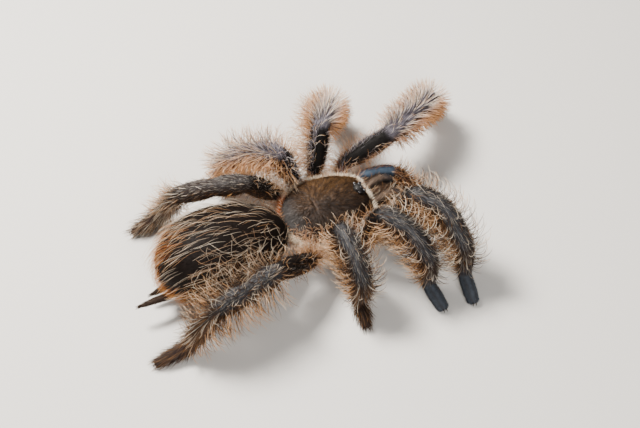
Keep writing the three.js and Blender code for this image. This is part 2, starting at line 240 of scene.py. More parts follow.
BLACK = colour(15, 12, 11)
VELVET = colour(27, 17, 12)
UMBER = colour(58, 44, 36)
GREY = colour(94, 94, 95)
SLATE = colour(66, 67, 72)
BLUE_GREY = colour(56, 70, 86)
CHESTNUT = colour(62, 50, 47)
RUFOUS = colour(150, 84, 44)
TAN = colour(204, 156, 112)
GOLD = colour(220, 160, 86)
AMBER = colour(214, 140, 50)
HONEY = colour(186, 132, 82)
CREAM = colour(250, 236, 214)
PINK = colour(200, 146, 130)
BRONZE = colour(70, 52, 38)
DARK_BRONZE = colour(38, 29, 24)
ASH = colour(158, 154, 156)
LAVENDER = colour(186, 178, 190)
DUSK = colour(112, 108, 118)
# The gold of the painted sheen on the shield and the tips of its hair.
SHEEN_GOLD = colour(150, 108, 62)

# ---- Camera, floor and light ----


def add_camera():
    heading, elevation, distance = np.radians(-25), np.radians(52), 420
    target = np.array([0, 0, 12]) + ORIGIN
    back = np.array([np.sin(heading) * np.cos(elevation), -np.cos(heading) * np.cos(elevation),
                     np.sin(elevation)])
    data = bpy.data.cameras.new("camera")
    data.sensor_width = 36
    data.lens = 85.5
    data.shift_x = -6.25 / 640
    data.shift_y = -5.3 / 640
    data.clip_start = 0.01
    data.clip_end = 20
    camera = bpy.data.objects.new("camera", data)
    camera.location = Vector((target + back * distance) * MM)
    camera.rotation_mode = "QUATERNION"
    camera.rotation_quaternion = Vector(-back).to_track_quat("-Z", "Y")
    bpy.context.scene.collection.objects.link(camera)
    bpy.context.scene.camera = camera


def add_light(name, place, size, power, tint):
    """A square lamp, aimed at the animal. Its place is in millimetres from the origin."""
    data = bpy.data.lights.new(name, "AREA")
    data.shape = "SQUARE"
    data.size = size * MM
    data.energy = power
    data.color = tint
    lamp = bpy.data.objects.new(name, data)
    lamp.location = Vector(place) * MM
    lamp.rotation_mode = "QUATERNION"
    lamp.rotation_quaternion = (-lamp.location).to_track_quat("-Z", "Y")
    bpy.context.scene.collection.objects.link(lamp)


def add_stage():
    mesh = bpy.data.meshes.new("floor")
    half = 3.0
    mesh.from_pydata([(-half, -half, 0), (half, -half, 0), (half, half, 0), (-half, half, 0)], [], [(0, 1, 2, 3)])
    floor = bpy.data.objects.new("floor", mesh)
    bpy.context.scene.collection.objects.link(floor)
    material, shader = new_material("floor_paper", 0.9)
    shader.inputs["Base Color"].default_value = (0.72, 0.70, 0.67, 1)
    mesh.materials.append(material)
    world = bpy.data.worlds.new("studio")
    world.use_nodes = True
    world.node_tree.nodes["Background"].inputs["Color"].default_value = (1, 0.98, 0.96, 1)
    world.node_tree.nodes["Background"].inputs["Strength"].default_value = 0.24
    bpy.context.scene.world = world
    add_light("key", [-160, 220, 420], 130, 8.0, (1, 0.95, 0.88))
    add_light("fill", [-60, -420, 330], 260, 2.0, (1, 0.98, 0.95))


# ---- Materials ----


def new_material(name, roughness):
    """A material with one Principled shader of that roughness."""
    material = bpy.data.materials.new(name)
    material.use_nodes = True
    shader = material.node_tree.nodes["Principled BSDF"]
    shader.inputs["Roughness"].default_value = roughness
    return material, shader


def node(material, kind, settings=(), **inputs):
    """Adds a shader node. Inputs may be numbers, colours or another node's output."""
    made = material.node_tree.nodes.new(kind)
    for key, value in dict(settings).items():
        setattr(made, key, value)
    for key, value in inputs.items():
        socket = made.inputs[key.replace("_", " ")]
        if isinstance(value, bpy.types.NodeSocket):
            material.node_tree.links.new(value, socket)
        else:
            socket.default_value = value
    return made


def tinted(name, roughness, variation, scale, bump=0.0, bump_scale=4000.0, sheen=0.0, specular=0.5):
    """A material whose colour is the mesh's own tint, made uneven by noise, over a finely bumped surface."""
    material, shader = new_material(name, roughness)
    links = material.node_tree.links
    tint = node(material, "ShaderNodeAttribute", {"attribute_name": "tint"})
    place = node(material, "ShaderNodeTexCoord")
    noise = node(material, "ShaderNodeTexNoise", Vector=place.outputs["Object"], Scale=scale, Detail=3.0)
    spread = node(material, "ShaderNodeMapRange", Value=noise.outputs["Fac"])
    spread.inputs["From Min"].default_value = 0.3
    spread.inputs["From Max"].default_value = 0.7
    spread.inputs["To Min"].default_value = 1 - variation
    spread.inputs["To Max"].default_value = 1 + variation
    shaded = node(material, "ShaderNodeVectorMath", {"operation": "SCALE"}, Scale=spread.outputs["Result"])
    links.new(tint.outputs["Color"], shaded.inputs[0])
    links.new(shaded.outputs["Vector"], shader.inputs["Base Color"])
    shader.inputs["Specular IOR Level"].default_value = specular
    if sheen:
        shader.inputs["Sheen Weight"].default_value = sheen
        shader.inputs["Sheen Roughness"].default_value = 0.4
    if bump:
        grain = node(material, "ShaderNodeTexNoise", Vector=place.outputs["Object"], Scale=bump_scale, Detail=4.0)
        raised = node(material, "ShaderNodeBump", Height=grain.outputs["Fac"], Strength=bump)
        raised.inputs["Distance"].default_value = 0.15 * MM
        links.new(raised.outputs["Normal"], shader.inputs["Normal"])
    return material


def mottled(name, dark, light, roughness, scale, bump):
    """A glossy material that drifts between two colours, with a fine grain and uneven gloss."""
    material, shader = new_material(name, roughness)
    links = material.node_tree.links
    place = node(material, "ShaderNodeTexCoord")
    noise = node(material, "ShaderNodeTexNoise", Vector=place.outputs["Object"], Scale=scale, Detail=3.0)
    blend = node(material, "ShaderNodeValToRGB", Fac=noise.outputs["Fac"])
    for stop, tint, position in zip(blend.color_ramp.elements, (dark, light), (0.38, 0.62)):
        stop.color = (*tint, 1)
        stop.position = position
    links.new(blend.outputs["Color"], shader.inputs["Base Color"])
    gloss = node(material, "ShaderNodeMapRange", Value=noise.outputs["Fac"])
    gloss.inputs["To Min"].default_value = roughness * 0.7
    gloss.inputs["To Max"].default_value = roughness * 1.3
    links.new(gloss.outputs["Result"], shader.inputs["Roughness"])
    grain = node(material, "ShaderNodeTexNoise", Vector=place.outputs["Object"], Scale=scale * 3, Detail=2.0)
    raised = node(material, "ShaderNodeBump", Height=grain.outputs["Fac"], Strength=bump)
    raised.inputs["Distance"].default_value = 0.05 * MM
    links.new(raised.outputs["Normal"], shader.inputs["Normal"])
    return material, shader


# ---- Meshes ----


def make_object(name, points, quads, triangles, material, tints=None, places=None):
    """A mesh from arrays. tints has a colour for each point, and places an OFBake place for each face corner."""
    mesh = bpy.data.meshes.new(name)
    quads = np.asarray(quads, np.int32).reshape(-1, 4)
    triangles = np.asarray(triangles, np.int32).reshape(-1, 3)
    corners = np.concatenate([quads.ravel(), triangles.ravel()])
    starts = np.concatenate([np.arange(len(quads)) * 4, len(quads) * 4 + np.arange(len(triangles)) * 3])
    mesh.vertices.add(len(points))
    mesh.vertices.foreach_set("co", ((np.asarray(points) + ORIGIN) * MM).astype(np.float32).ravel())
    mesh.loops.add(len(corners))
    mesh.loops.foreach_set("vertex_index", corners)
    mesh.polygons.add(len(starts))
    mesh.polygons.foreach_set("loop_start", starts.astype(np.int32))
    mesh.polygons.foreach_set("use_smooth", np.ones(len(starts), bool))
    mesh.update(calc_edges=True)
    if tints is not None:
        layer = mesh.color_attributes.new("tint", "FLOAT_COLOR", "POINT")
        layer.data.foreach_set("color", np.c_[tints, np.ones(len(tints))].astype(np.float32).ravel())
    if places is not None:
        layer = mesh.uv_layers.new(name="OFBake")
        layer.data.foreach_set("uv", np.asarray(places, np.float32).ravel())
    mesh.materials.append(material)
    made = bpy.data.objects.new(name, mesh)
    bpy.context.scene.collection.objects.link(made)
    return made


def settle(piece, slot, *nodes):
    """Puts a piece under the root body, and hides the nodes that it stands for. The slot is not used."""
    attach(piece, "root")
    if nodes:
        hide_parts(*nodes)


class Surface:
    """Part of the skin: rows of points from its near end to its far end, each row going once round.

    row_values says where each row is along the part, and turns where each point is round it, in degrees
    from its upper side.
    """

    def __init__(self, points, row_values, turns, island=(0.01, 0.01, 0.99, 0.99)):
        self.points = points
        self.row_values = np.asarray(row_values, float)
        self.turns = np.asarray(turns, float)
        self.island = island
        ahead = np.gradient(points, axis=0)
        around = (np.roll(points, -1, axis=1) - np.roll(points, 1, axis=1)) / 2
        self.lie = unit(ahead)
        self.normals = unit(np.cross(around, ahead))
        outward = np.sum(self.normals * (points - points.mean(axis=1, keepdims=True)))
        if outward < 0:
            self.normals = -self.normals
        self.areas = np.linalg.norm(np.cross(ahead, around), axis=-1)[:-1]

    def solid(self):
        """Points and faces of the closed body inside the surface."""
        rows, columns = self.points.shape[:2]
        points = np.vstack([self.points.reshape(-1, 3), self.points[0].mean(0), self.points[-1].mean(0)])
        index = np.arange(rows * columns).reshape(rows, columns)
        nexts = np.roll(index, -1, axis=1)
        quads = np.stack([index[:-1], nexts[:-1], nexts[1:], index[1:]], -1).reshape(-1, 4)
        first = np.stack([nexts[0], index[0], np.full(columns, rows * columns)], -1)
        last = np.stack([index[-1], nexts[-1], np.full(columns, rows * columns + 1)], -1)
        return points, quads, np.vstack([first, last])

    def scatter(self, density):
        """Random roots, with density(row value, turn) of them for each square millimetre."""
        rows, columns = self.areas.shape
        middle = (self.row_values[:-1] + self.row_values[1:]) / 2
        wanted = self.areas * density(middle[:, None] + np.zeros(columns), self.turns + np.zeros((rows, 1)))
        count = int(wanted.sum())
        # One root for each equal share of the total, going round each row from a random place.
        starts = rng.integers(0, columns, rows)[:, None]
        order = (np.arange(rows)[:, None] * columns + (np.arange(columns) + starts) % columns).ravel()
        sums = np.cumsum(wanted.ravel()[order])
        steps = (np.arange(count) + rng.random(count)) / count * sums[-1]
        cell = order[np.minimum(np.searchsorted(sums, steps), wanted.size - 1)]
        row, column = np.divmod(cell, columns)
        down, across = rng.random(count), rng.random(count)
        beside = (column + 1) % columns

        def blend(grid):
            near = mix(grid[row, column], grid[row, beside], across)
            far = mix(grid[row + 1, column], grid[row + 1, beside], across)
            return mix(near, far, down)

        left, low, right, high = self.island
        step = 360 / columns
        return {
            "place": blend(self.points),
            "normal": unit(blend(self.normals)),
            "lie": unit(blend(self.lie)),
            "row": self.row_values[row] + down * (self.row_values[row + 1] - self.row_values[row]),
            "turn": (self.turns[column] + across * step + 180) % 360 - 180,
            "map": np.stack([left + (right - left) * (row + down) / rows,
                             low + (high - low) * (column + across) / columns], -1),
        }


def rings(centres, aheads, uppers, widths, heights=None, columns=20):
    """Rows of points round a line. Turns go from the upper side towards the right of the line's direction."""
    heights = widths if heights is None else heights
    uppers = unit(uppers - np.sum(uppers * aheads, -1, keepdims=True) * aheads)
    rights = np.cross(aheads, uppers)
    turns = np.arange(columns) * 360 / columns
    up = np.cos(np.radians(turns))[None, :, None] * np.asarray(heights)[:, None, None]
    side = np.sin(np.radians(turns))[None, :, None] * np.asarray(widths)[:, None, None]
    return centres[:, None] + up * uppers[:, None] + side * rights[:, None], turns


def rod(path, radii, rows=16, columns=16):
    """A round tapered surface along a smooth path, closed over at its far end."""
    shares = np.linspace(0, 1, rows)
    centres = through(path, shares)
    aheads = unit(np.gradient(centres, axis=0))
    upper = unit(np.cross(aheads, np.cross([0, 0, 1.0], aheads)))
    points, turns = rings(centres, aheads, upper, through(np.array(radii)[:, None], shares)[:, 0], columns=columns)
    return Surface(points, shares, turns)


# ---- Limbs ----


def limb_surface(root, hip, headings, slopes, lengths, radii):
    """A limb's skin. Row values are the segment's number, plus the share of the way along it."""
    root, hip = np.asarray(root, float), np.asarray(hip, float)
    run = hip - root
    all_headings = [np.degrees(np.arctan2(run[1], run[0])), *headings]
    all_slopes = [np.degrees(np.arcsin(run[2] / np.linalg.norm(run))), *slopes]
    lengths = [np.linalg.norm(run), *lengths]
    joints = [root]
    for i, length in enumerate(lengths):
        if i == len(all_slopes):
            all_slopes.append(np.degrees(np.arcsin((TIP_HEIGHT - joints[-1][2]) / length)))
        joints.append(joints[-1] + aim(all_headings[i], all_slopes[i])[0] * length)
    ends = np.concatenate([[0], np.cumsum(lengths)])
    along = np.linspace(0, ends[-1], int(ends[-1] / ROW_STEP))
    segment = np.minimum(np.searchsorted(ends, along, side="right") - 1, len(lengths) - 1)
    share = (along - ends[segment]) / np.array(lengths)[segment]
    centres = np.array(joints)[segment] + (along - ends[segment])[:, None] * aim(
        np.array(all_headings)[segment], np.array(all_slopes)[segment])[0]
    heading, slope = np.array(all_headings)[segment], np.array(all_slopes)[segment]
    for k in range(1, len(lengths)):
        reach = min(BEND_REACH, 0.45 * lengths[k - 1], 0.45 * lengths[k])
        near = np.abs(along - ends[k]) < reach
        t = (along[near] - ends[k] + reach) / (2 * reach)
        before = aim(all_headings[k - 1], all_slopes[k - 1])[0]
        after = aim(all_headings[k], all_slopes[k])[0]
        bent = joints[k] - before * reach * ((1 - t) ** 2)[:, None] + after * reach * (t**2)[:, None]
        centres[near] = bent
        heading[near] = all_headings[k - 1] + t * (all_headings[k] - all_headings[k - 1])
        slope[near] = all_slopes[k - 1] + t * (all_slopes[k] - all_slopes[k - 1])
    radius = np.array([np.interp(f, np.linspace(0, 1, 4), radii[k]) for k, f in zip(segment, share)])
    uppers = aim(heading, slope)[1]
    aheads = unit(np.gradient(centres, axis=0))
    values = segment + share
    swell = np.linspace(0.15, 1, 7)  # the foot's rounded end
    centres = np.vstack([centres, centres[-1] + np.outer(swell, aheads[-1]) * radius[-1] * 0.7])
    aheads = np.vstack([aheads, np.repeat(aheads[-1:], len(swell), 0)])
    uppers = np.vstack([uppers, np.repeat(uppers[-1:], len(swell), 0)])
    radius = np.concatenate([radius, radius[-1] * np.sqrt(np.maximum(1 - swell**2, 0.01))])
    values = np.concatenate([values, len(lengths) + 0.02 * np.arange(1, len(swell) + 1)])
    points, turns = rings(centres, aheads, uppers, radius)
    points[..., 2] = np.maximum(points[..., 2], SOLE_HEIGHT)
    surface = Surface(points, values, turns)
    surface.tip = (centres[-1], aheads[-1], surface.points[-8, 0] - centres[-8])
    return surface


def leg_surface(name):
    hip, headings, slopes = LEGS[name]
    number = name[-1]
    root = on_side(name, LEG_ROOTS[number])
    radii = [*LEG_RADII[:-1], HIND_FOOT_RADII] if number in "34" else LEG_RADII
    return limb_surface(root, hip, headings, slopes, LEG_LENGTHS[number], radii)


def palp_surface(side):
    hip, headings, slopes = PALPS[side]
    return limb_surface(on_side(side, PALP_ROOT), hip, headings, slopes, PALP_LENGTHS, PALP_RADII)


# ---- Trunk ----


def turned(points):
    """Points round the abdomen's middle, tilted, turned and put in its place."""
    tilt, turn = np.radians(ABDOMEN_TILT), np.radians(ABDOMEN_TURN)
    x, y, z = np.moveaxis(points, -1, 0)
    x, z = x * np.cos(tilt) + z * np.sin(tilt), z * np.cos(tilt) - x * np.sin(tilt)
    x, y = x * np.cos(turn) - y * np.sin(turn), x * np.sin(turn) + y * np.cos(turn)
    return np.stack([x, y, z], -1) + ABDOMEN_CENTRE


def abdomen_surface():
    """The egg-shaped abdomen. Rows run from its front, at 0, to its back, at 1."""
    rows, columns = 70, 72
    shares = np.linspace(0.004, 0.996, rows)
    turns = np.arange(columns) * 360 / columns
    angle, turn = np.radians(shares * 180)[:, None], np.radians(turns)[None]
    ahead = np.cos(angle) + 0 * turn
    wide = np.sin(angle) * (1 - ABDOMEN_SKEW * ahead)
    points = np.stack([ahead, -wide * np.sin(turn), wide * np.cos(turn)], -1) * ABDOMEN_SIZE
    return Surface(turned(points), shares, turns)


def jaw_surface(side):
    shares = np.linspace(0, 1, 26)
    centres = through(on_side(side, JAW_CENTRES), shares)
    widths = through(np.array(JAW_WIDTHS)[:, None], shares)[:, 0]
    heights = through(np.array(JAW_HEIGHTS)[:, None], shares)[:, 0]
    swell = np.linspace(0.2, 1, 6)
    blunt = np.sqrt(np.maximum(1 - swell**2, 0.02))
    forward = np.array([[0.85, 0, -0.5]])
    centres = np.vstack([centres, centres[-1] + swell[:, None] * forward * 1.0])
    widths = np.concatenate([widths, widths[-1] * blunt])
    heights = np.concatenate([heights, heights[-1] * blunt])
    count = len(centres)
    aheads = np.repeat([[1.0, 0, 0]], count, 0)
    uppers = np.repeat([[0, 0, 1.0]], count, 0)
    points, turns = rings(centres, aheads, uppers, widths, heights)
    return Surface(points, np.linspace(0, 1, count), turns)


def ellipsoid_surface(centre, size, rows=24, columns=24):
    shares = np.linspace(0.01, 0.99, rows)
    turns = np.arange(columns) * 360 / columns
    angle, turn = np.radians(shares * 180)[:, None], np.radians(turns)[None]
    points = np.stack([np.cos(angle) + 0 * turn, -np.sin(angle) * np.sin(turn), np.sin(angle) * np.cos(turn)], -1)
    return Surface(points * size + centre, shares, turns)


# ---- The back shield ----


def shield_height(share):
    curve = through(np.array(SHIELD_HEIGHTS)[:, None], np.interp(share, SHIELD_SHARES, np.linspace(0, 1, 7)))
    return SHIELD_EDGE + SHIELD_RISE * curve[:, 0]


def shield_surface():
    """The shield's upper side. Rows run from its middle, at 0, to its edge, at 1; turns are from straight ahead."""
    rows, columns = 64, 144
    shares = np.linspace(0.01, 1, rows) ** 0.8
    half = through(SHIELD_OUTLINE, np.linspace(0, 1, columns // 2 + 1))
    outline = np.vstack([half * [1, -1], half[-2:0:-1]])
    heights = shield_height(shares)
    x = outline[None, :, 0] * shares[:, None] + SHIELD_AHEAD * (1 - shares[:, None]) ** 0.5
    y = outline[None, :, 1] * shares[:, None]
    z = heights[:, None] + shield_relief(x, y, shares[:, None])
    turns = np.arange(columns) * 360 / columns
    return Surface(np.stack([x, y, z + 0 * x], -1), shares, turns)


def groove(x, y, heading, width):
    """1 along the line that leaves the pit at that heading, on both sides, falling to 0 at its width."""
    ahead, aside = x - PIT_PLACE, np.abs(y)
    h = np.radians(heading)
    forward = ahead * np.cos(h) + aside * np.sin(h)
    off = -ahead * np.sin(h) + aside * np.cos(h)
    return np.exp(-((off / width) ** 2)) * ramp(forward, 0.4, 2.0)


def shield_relief(x, y, share):
    """Height over the plain dome: the raised head, the grooves round it, the radiating ones and the pit."""
    inside = 1 - ramp(share, 0.84, 0.97)
    head = ramp(x, -2.0, 3.0) * (1 - ramp(np.abs(y) - 0.34 * (x - PIT_PLACE), 0.2, 2.2))
    relief = 0.55 * head
    relief = relief - 0.2 * groove(x, y, 34, 0.5) * (1 - ramp(x, 6.0, 9.5))
    for heading in (58, 84, 108, 132, 158):
        relief = relief - 0.08 * groove(x, y, heading, 0.45)
    pit = np.exp(-(((x - PIT_PLACE + 0.06 * y**2) / 0.5) ** 2) - (y / 1.5) ** 2)
    rim = np.exp(-(((share - 0.965) / 0.03) ** 2))
    return (relief - 0.9 * pit) * inside + 0.12 * rim


# ---- Hair ----


def grow(roots, length, radius, bends, rise, swing=(0, 0), wave=0.0, waves=1.0, tints=(None, None),
         blend_power=1.0, sink=0.2):
    """Closed, tapered, three-sided hairs as (points, quads, triangles, tints, places).

    rise is a hair's angle over the skin at its root and at its tip, and swing the same sideways from the
    lie of the coat, in degrees: each is a number or an array with one value for each hair. A rise past 90
    curls the tip back. wave adds that many degrees of waviness. tints are two or three colours, root first.
    """
    count = len(roots["place"])
    normal, lie = roots["normal"], roots["lie"]
    lie = unit(lie - np.sum(lie * normal, -1, keepdims=True) * normal)
    across = np.cross(normal, lie)
    length = np.broadcast_to(length, count)
    radius = np.broadcast_to(radius, count)
    phase = rng.random(count) * 2 * np.pi
    place = roots["place"] - normal * sink
    thick = unit(across + 0.01 * normal)
    points, shades = [], []
    for k in range(bends + 1):
        t = k / bends
        step = (k + 0.5) / bends
        wobble = wave * np.sin(phase + 2 * np.pi * waves * step)
        up = np.radians(rise[0] + (rise[1] - rise[0]) * step + wobble)
        turn = np.radians(swing[0] + (swing[1] - swing[0]) * step + wave * np.cos(phase * 1.7 + 5 * waves * step))
        heading = np.cos(turn)[:, None] * lie + np.sin(turn)[:, None] * across
        way = np.cos(up)[:, None] * heading + np.sin(up)[:, None] * normal
        place = place.copy()
        place[:, 2] = np.maximum(place[:, 2], HAIR_FLOOR)
        reach = t**blend_power * (len(tints) - 1)
        low = min(int(reach), len(tints) - 2)
        shades.append(mix(tints[low], tints[low + 1], reach - low))
        if k == bends:
            points.append(place[:, None])
            break
        thick = unit(thick - np.sum(thick * way, -1, keepdims=True) * way)
        other = np.cross(way, thick)
        size = (radius * (1 - 0.6 * t))[:, None]
        ring = [place + size * (np.cos(a) * thick + np.sin(a) * other) for a in (0, 2.0944, 4.1888)]
        points.append(np.stack(ring, 1))
        place = place + way * (length / bends)[:, None]
    sides = 3
    per_hair = bends * sides + 1
    all_points = np.concatenate(points, 1).reshape(-1, 3)
    all_tints = np.concatenate([np.repeat(s[:, None], p.shape[1], 1) for s, p in zip(shades, points)], 1)
    base = (np.arange(count) * per_hair)[:, None]
    quads, quad_map, triangles, triangle_map = [], [], [[0, 2, 1]], [[(0, 0), (1, 0), (0.5, 0.12)]]
    for j in range(sides):
        j2 = (j + 1) % sides
        left, right = j / sides, (j + 1) / sides
        for k in range(bends - 1):
            a, b = k * sides, (k + 1) * sides
            quads.append([a + j, a + j2, b + j2, b + j])
            low, high = (k + 0.2) / (bends + 0.2), (k + 1.2) / (bends + 0.2)
            quad_map.append([(left, low), (right, low), (right, high), (left, high)])
        a = (bends - 1) * sides
        triangles.append([a + j, a + j2, bends * sides])
        low = (bends - 0.8) / (bends + 0.2)
        triangle_map.append([(left, low), (right, low), ((left + right) / 2, 1)])
    corner = (roots["map"] - PATCH / 2)[:, None, None]

    def spread(faces, patch, width):
        if not faces:
            return np.zeros((0, width), int), np.zeros((0, 2))
        made = (base[:, None] + np.array(faces)[None]).reshape(-1, width)
        return made, (corner + PATCH * np.array(patch)[None]).reshape(-1, 2)

    quad_faces, quad_places = spread(quads, quad_map, 4)
    triangle_faces, triangle_places = spread(triangles, triangle_map, 3)
    return all_points, quad_faces, triangle_faces, all_tints.reshape(-1, 3), quad_places, triangle_places


def coat(name, groups, material, slot):
    """One piece from several groups of hairs."""
    points, quads, triangles, tints, quad_places, triangle_places = [], [], [], [], [], []
    start = 0
    for group in groups:
        points.append(group[0])
        quads.append(group[1] + start)
        triangles.append(group[2] + start)
        tints.append(group[3])
        quad_places.append(group[4])
        triangle_places.append(group[5])
        start += len(group[0])
    made = make_object(name, np.vstack(points), np.vstack(quads), np.vstack(triangles), material,
                       np.vstack(tints), np.vstack(quad_places + triangle_places))
    settle(made, slot)
    return made


def vary(count, low, high):
    return rng.uniform(low, high, count)


def shaded(tint, count, spread=0.25):
    """A tint with each hair a little lighter or darker."""
    return tint * np.exp(rng.normal(0, spread, (count, 1)))


# ---- Markings, shared by the skin and the coat ----


def leg_markings(name, row, turn):
    """The skin's colour on a leg."""
    halo = LEG_FRINGES[name][0] == "halo"
    top = 1 - ramp(np.abs(turn), 60, 110)
    tint = mix(PINK * 0.5, UMBER, ramp(row, 0.5, 1.0))
    femur = mix(UMBER * 0.6, BLACK, top)
    tint = mix(tint, femur, ramp(row, 0.9, 1.1))
    stripe = np.exp(-(((np.abs(turn) - 24) / 11) ** 2))
    core = mix(UMBER * 0.6, SLATE * 0.6, top * (0.25 if name == "left_4" else 1))
    knee = mix(UMBER * 0.6, DUSK, top) if halo else mix(core, GREY, stripe * 0.55)
    tint = mix(tint, knee, ramp(row, 1.93, 2.05))
    shin = mix(UMBER * 0.8, DUSK, top) if halo else mix(core, GREY * 0.8, stripe * 0.4)
    tint = mix(tint, shin, ramp(row, 2.95, 3.1))
    tint = mix(tint, mix(UMBER, DUSK, top * 0.7) if halo else UMBER * 0.8, ramp(row, 3.85, 4.1))
    # Painted sheen: lighter blue-grey stripes round the feet of the front two pairs of legs.
    sheen_streak = 0.5 + 0.5 * np.cos(np.radians(turn * 6))
    foot = {"3": UMBER * 0.7 + 0 * tint, "4": CHESTNUT + 0 * tint}.get(name[-1], mix(SLATE * 0.9, mix(GREY, BLUE_GREY, 0.6), sheen_streak))
    return mix(tint, foot, ramp(row, 4.3, 5.0))


def palp_markings(row, turn):
    tint = mix(PINK * 0.6, BLUE_GREY, ramp(row, 0.6, 1.0))
    tint = mix(tint, UMBER * 0.8, ramp(row, 1.95, 2.1))
    return mix(tint, SLATE * 0.8, ramp(row, 3.8, 4.1))


def abdomen_markings(row, turn):
    under = ramp(np.abs(turn), 95, 140)
    return mix(VELVET * 0.5, UMBER * 0.5, under)


def jaw_markings(row, turn):
    stripe = 0.5 + 0.5 * np.cos(np.radians(turn * 5))
    tint = mix(BLACK, mix(GREY, TAN, 0.25) * 0.9, stripe * (1 - ramp(np.abs(turn), 70, 120)))
    return mix(tint, BLUE_GREY * 1.3, 0.7 * np.exp(-(((row - 0.62) / 0.12) ** 2) - ((turn + 20) / 40) ** 2))


def mottle(x, y):
    """Patches of about 2 mm, from 0 to 1."""
    broad = np.sin(2.1 * x + 1.3 * np.sin(1.7 * y)) * np.sin(2.6 * y + 1.1 * np.sin(1.9 * x + 0.6))
    fine = np.sin(4.9 * x + 2.0 * np.sin(3.1 * y + 1)) * np.sin(5.3 * y + 1.7 * np.sin(4.1 * x))
    return np.clip(0.5 + 0.45 * broad + 0.35 * fine, 0, 1)


def shield_markings(row, turn, place):
    """Mottled bronze, darker along the grooves, greyer on the rear slope and with a pale edge; painted shade darkens
    the right half, and a painted golden sheen lies over the left front half.
    """
    x, y = place[..., 0], place[..., 1]
    dark = groove(x, y, 34, 0.8) * (1 - ramp(x, 6.0, 9.5))
    for heading in (58, 84, 108, 132, 158):
        dark = np.maximum(dark, 0.35 * groove(x, y, heading, 0.6))
    patch = mottle(x, y)
    # Painted shade: the right half (-Y) is darkened, on top of the mottling and the grooves.
    tint = mix(BRONZE, DARK_BRONZE, np.clip(1.1 * patch + dark + 0.45 * ramp(-y, 0.0, 5.0), 0, 1))
    # Painted sheen: a golden sheen over the left front half, in the lighter mottles.
    tint = mix(tint, SHEEN_GOLD * 0.6, 0.5 * (1 - patch) * ramp(x, -6.0, 0.0) * ramp(y, -1.0, 4.0))
    tint = mix(tint, mix(GREY, BRONZE, 0.3) * 0.8, 1 - ramp(x, -11.0, -6.5))
    return mix(tint, TAN, ramp(row, 0.93, 0.97) * 0.8)


# ---- Coats ----


